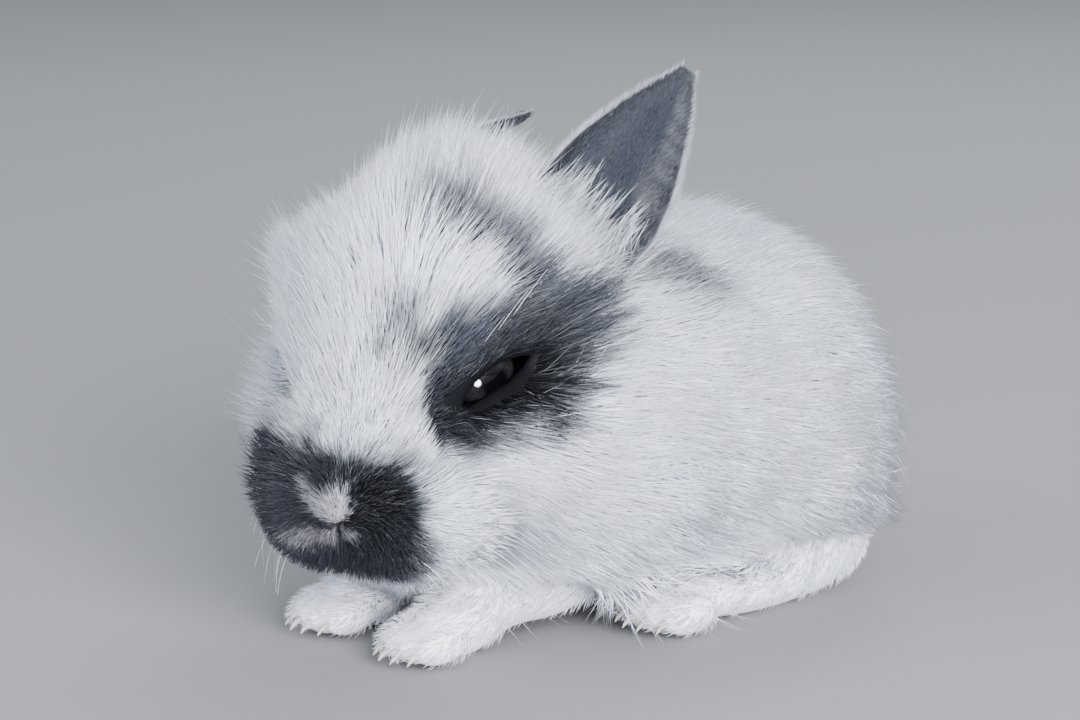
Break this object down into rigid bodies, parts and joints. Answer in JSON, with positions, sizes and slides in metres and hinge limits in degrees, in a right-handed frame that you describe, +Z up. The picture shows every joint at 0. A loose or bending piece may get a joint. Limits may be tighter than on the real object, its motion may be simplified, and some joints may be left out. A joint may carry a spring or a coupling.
{
  "type": "lionhead rabbit model",
  "caption": "Still life-size model of a young lionhead rabbit, crouched with head low and turned, white fluffy coat with blue-grey nose, eye patches and ears.",
  "frame": {"origin": "on the floor under the middle of the animal's bounding box", "axes": "+Z up, -Y the way the body faces, +X towards the animal's left side"},
  "size_m": [0.0808, 0.1266, 0.0862],
  "materials": {
    "coat": "soft white fur with blue-grey markings",
    "ear": "short blue-grey fur, pale rim",
    "eye": "wet glossy black",
    "claw": "pale translucent horn",
    "whisker": "fine white hair"
  },
  "bodies": {
    "root": {"head": "coat", "neck": "coat", "torso": "coat", "tail": "coat", "ear_left": "ear", "ear_right": "ear", "eye_left": "eye", "eye_right": "eye", "foreleg_left": "coat", "foreleg_right": "coat", "hindleg_left": "coat", "hindleg_right": "coat"}
  },
  "joints": []
}
